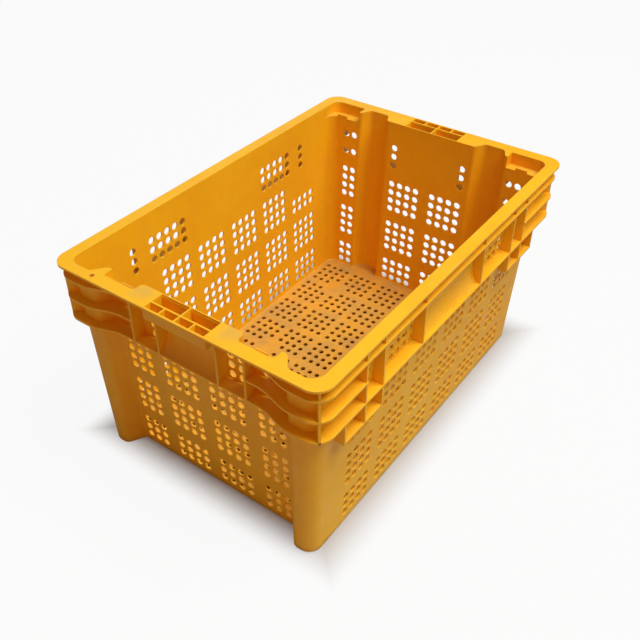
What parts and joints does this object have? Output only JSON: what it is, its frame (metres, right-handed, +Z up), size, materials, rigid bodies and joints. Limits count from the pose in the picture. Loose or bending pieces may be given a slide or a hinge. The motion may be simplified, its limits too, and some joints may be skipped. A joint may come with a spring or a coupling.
{
  "type": "stacking crate",
  "caption": "Vented open-top plastic stacking crate with perforated drafted walls, ribbed rim, corner posts, stacking seats and a handle at each end.",
  "frame": {"origin": "centre of the crate's footprint, on the ground", "axes": "X along the length with the corner-post end at -X, Y across the width, Z up"},
  "size_m": [0.6, 0.4, 0.3],
  "materials": {
    "floor_plastic": "semi-matte moulded polyethylene, scuffed by goods",
    "rim_plastic": "semi-matte moulded polyethylene, polished by handling",
    "grip_plastic": "semi-matte moulded polyethylene",
    "rib_plastic": "semi-matte moulded polyethylene",
    "post_plastic": "semi-matte moulded polyethylene, lightly rubbed",
    "wall_plastic": "semi-matte moulded polyethylene with fine tool texture"
  },
  "bodies": {
    "root": {"far_end_wall": "wall_plastic", "far_hand_grip": "grip_plastic", "far_handle_lattice": "grip_plastic", "far_left_corner": "post_plastic", "far_left_corner_gussets": "rib_plastic", "far_left_corner_shelves": "rib_plastic", "far_left_foot": "floor_plastic", "far_left_post": "post_plastic", "far_left_seat": "grip_plastic", "far_left_strip": "wall_plastic", "far_lower_rail": "rib_plastic", "far_right_corner": "post_plastic", "far_right_corner_gussets": "rib_plastic", "far_right_corner_shelves": "rib_plastic", "far_right_foot": "floor_plastic", "far_right_post": "post_plastic", "far_right_seat": "grip_plastic", "far_right_strip": "wall_plastic", "far_uprights": "rib_plastic", "floor_panel": "floor_plastic", "left_grip_panel": "grip_plastic", "left_long_wall": "wall_plastic", "left_low_shelves": "rib_plastic", "left_lower_rail": "rib_plastic", "left_upper_rail": "rib_plastic", "left_uprights": "rib_plastic", "near_end_wall": "wall_plastic", "near_hand_grip": "grip_plastic", "near_handle_lattice": "grip_plastic", "near_left_corner_gussets": "rib_plastic", "near_left_corner_shelves": "rib_plastic", "near_left_foot": "floor_plastic", "near_left_post": "post_plastic", "near_left_seat": "grip_plastic", "near_left_strip": "wall_plastic", "near_lower_rail": "rib_plastic", "near_right_corner_gussets": "rib_plastic", "near_right_corner_shelves": "rib_plastic", "near_right_foot": "floor_plastic", "near_right_post": "post_plastic", "near_right_seat": "grip_plastic", "near_right_strip": "wall_plastic", "near_uprights": "rib_plastic", "right_grip_panel": "grip_plastic", "right_long_wall": "wall_plastic", "right_low_shelves": "rib_plastic", "right_lower_rail": "rib_plastic", "right_upper_rail": "rib_plastic", "right_uprights": "rib_plastic", "rim_far": "rim_plastic", "rim_far_left_corner": "rim_plastic", "rim_far_right_corner": "rim_plastic", "rim_left": "rim_plastic", "rim_near": "rim_plastic", "rim_near_left": "rim_plastic", "rim_near_left_corner": "rim_plastic", "rim_near_right": "rim_plastic", "rim_near_right_corner": "rim_plastic", "rim_right": "rim_plastic"}
  },
  "joints": []
}
